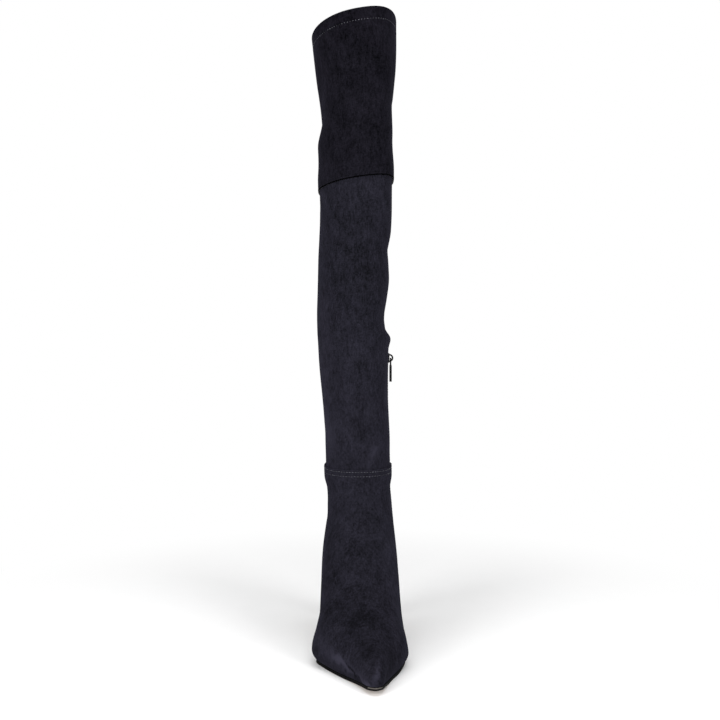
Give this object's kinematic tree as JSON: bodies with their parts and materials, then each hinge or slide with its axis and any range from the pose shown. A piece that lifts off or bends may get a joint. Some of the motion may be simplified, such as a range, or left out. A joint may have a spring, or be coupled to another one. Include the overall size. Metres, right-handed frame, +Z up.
{
  "type": "thigh high boot",
  "caption": "Thigh high suede boot for the right foot with a pointed toe, slim covered heel, wide open collar and an ankle zip with a swinging pull tab.",
  "frame": {"origin": "centre of the heel tip's underside, on the floor", "axes": "+Z up, -Y towards the toe, +X towards the inner side of the leg (the wearer's left)"},
  "size_m": [0.1011, 0.258, 0.6697],
  "materials": {
    "suede": "dark blue-black suede with a short nap",
    "thigh_suede": "near-black stretch suede",
    "sole_leather": "black, smooth edge",
    "lining": "dark lining leather",
    "zip_tape": "black woven tape",
    "black_metal": "black lacquer, satin",
    "tip_rubber": "black, matte"
  },
  "bodies": {
    "boot": {"upper": "suede", "shaft": "suede", "thigh_cuff": "thigh_suede", "outsole": "sole_leather", "insole": "lining", "heel": "suede", "heel_tip": "tip_rubber", "zip": "zip_tape", "zip_slider": "black_metal"},
    "pull_tab": {"zip_pull": "black_metal"}
  },
  "joints": [
    {"name": "pull_tab_hinge", "type": "hinge", "parent": "boot", "child": "pull_tab", "pos_m": [0.03739, -0.01035, 0.2998], "axis": [0, -1, 0], "range_deg": [0, 165]}
  ]
}
